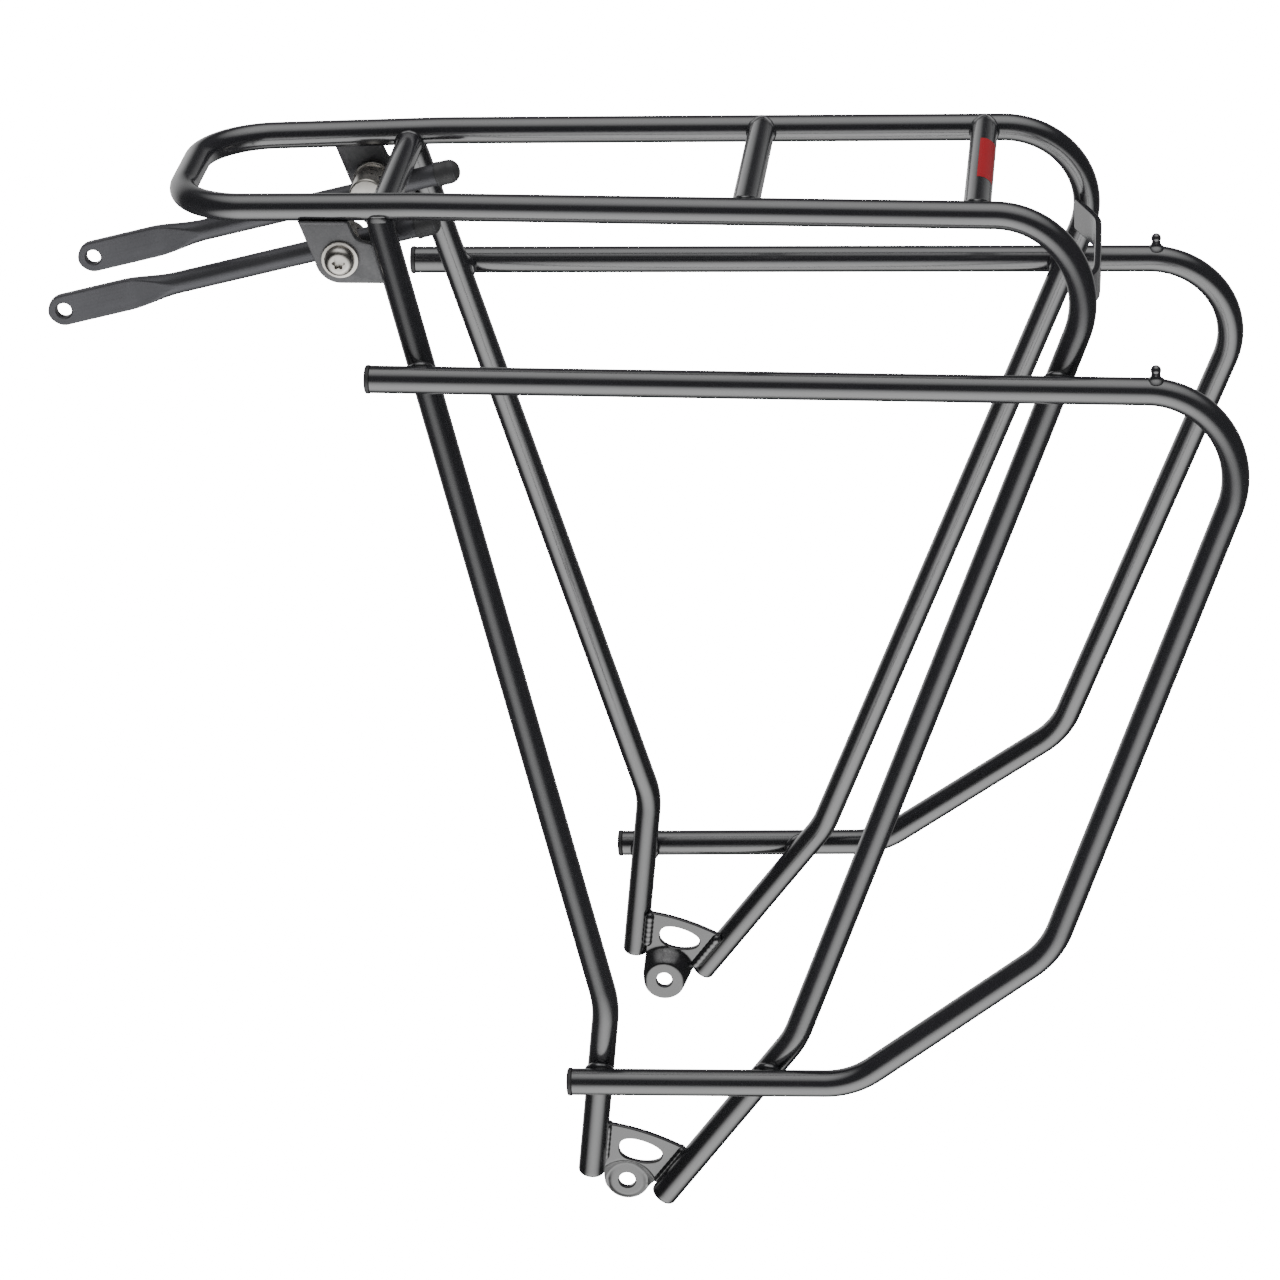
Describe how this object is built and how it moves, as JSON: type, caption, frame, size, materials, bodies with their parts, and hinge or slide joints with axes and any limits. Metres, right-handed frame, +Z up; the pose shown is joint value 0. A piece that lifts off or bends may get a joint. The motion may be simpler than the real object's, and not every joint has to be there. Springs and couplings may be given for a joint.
{
  "type": "bicycle rear rack",
  "caption": "Tubular steel bicycle rear rack with a long hoop platform, lowered pannier loops, drilled axle eyelets and front struts that tilt and slide in clamps.",
  "frame": {"origin": "centre of the footprint (middle of the bounding box in X and Y), at the height of the lowest point, the underside of the axle eyelets", "axes": "+X to the back of the bicycle, +Y to the bicycle's right, +Z up with the platform level. The rack is symmetric about the plane Y = 0"},
  "size_m": [0.4373, 0.2124, 0.3879],
  "materials": {
    "black_powder_coat": "gloss",
    "black_plastic": "satin",
    "satin_black_steel": "satin",
    "stainless_steel": "polished",
    "satin_black_rod": "satin"
  },
  "bodies": {
    "rack": {"main_hoop": "black_powder_coat", "front_leg_left": "black_powder_coat", "front_leg_right": "black_powder_coat", "cross_tube_front": "black_powder_coat", "cross_tube_middle": "black_powder_coat", "cross_tube_rear": "black_powder_coat", "pannier_loop_left": "black_powder_coat", "pannier_loop_right": "black_powder_coat", "stop_peg_left": "black_powder_coat", "stop_peg_right": "black_powder_coat", "rear_leg_cap_left": "black_powder_coat", "rear_leg_cap_right": "black_powder_coat", "front_leg_cap_left": "black_powder_coat", "front_leg_cap_right": "black_powder_coat", "eyelet_plate_left": "black_powder_coat", "eyelet_plate_right": "black_powder_coat", "light_plate": "black_powder_coat", "lower_rail_plug_left": "black_plastic", "lower_rail_plug_right": "black_plastic", "bottom_rail_plug_left": "black_plastic", "bottom_rail_plug_right": "black_plastic", "strut_bracket_left": "satin_black_steel", "strut_bracket_right": "satin_black_steel"},
    "clamp_left": {"clamp_bolt_left": "stainless_steel", "clamp_washer_left": "stainless_steel", "clamp_barrel_left": "stainless_steel"},
    "strut_left": {"strut_rod_left": "satin_black_rod", "strut_cap_left": "black_plastic"},
    "clamp_right": {"clamp_bolt_right": "stainless_steel", "clamp_washer_right": "stainless_steel", "clamp_barrel_right": "stainless_steel"},
    "strut_right": {"strut_rod_right": "satin_black_rod", "strut_cap_right": "black_plastic"}
  },
  "joints": [
    {"name": "clamp_left_turn", "type": "hinge", "parent": "rack", "child": "clamp_left", "pos_m": [-0.10717, -0.0448, 0.3644], "axis": [0, 1, 0], "range_deg": [-3, 18]},
    {"name": "strut_left_slide", "type": "slide", "parent": "clamp_left", "child": "strut_left", "axis": [-0.9703, 0, -0.2419], "range_m": [-0.04, 0.015]},
    {"name": "clamp_right_turn", "type": "hinge", "parent": "rack", "child": "clamp_right", "pos_m": [-0.10717, 0.0448, 0.3644], "axis": [0, 1, 0], "range_deg": [-3, 18]},
    {"name": "strut_right_slide", "type": "slide", "parent": "clamp_right", "child": "strut_right", "axis": [-0.9703, 0, -0.2419], "range_m": [-0.04, 0.015]}
  ]
}
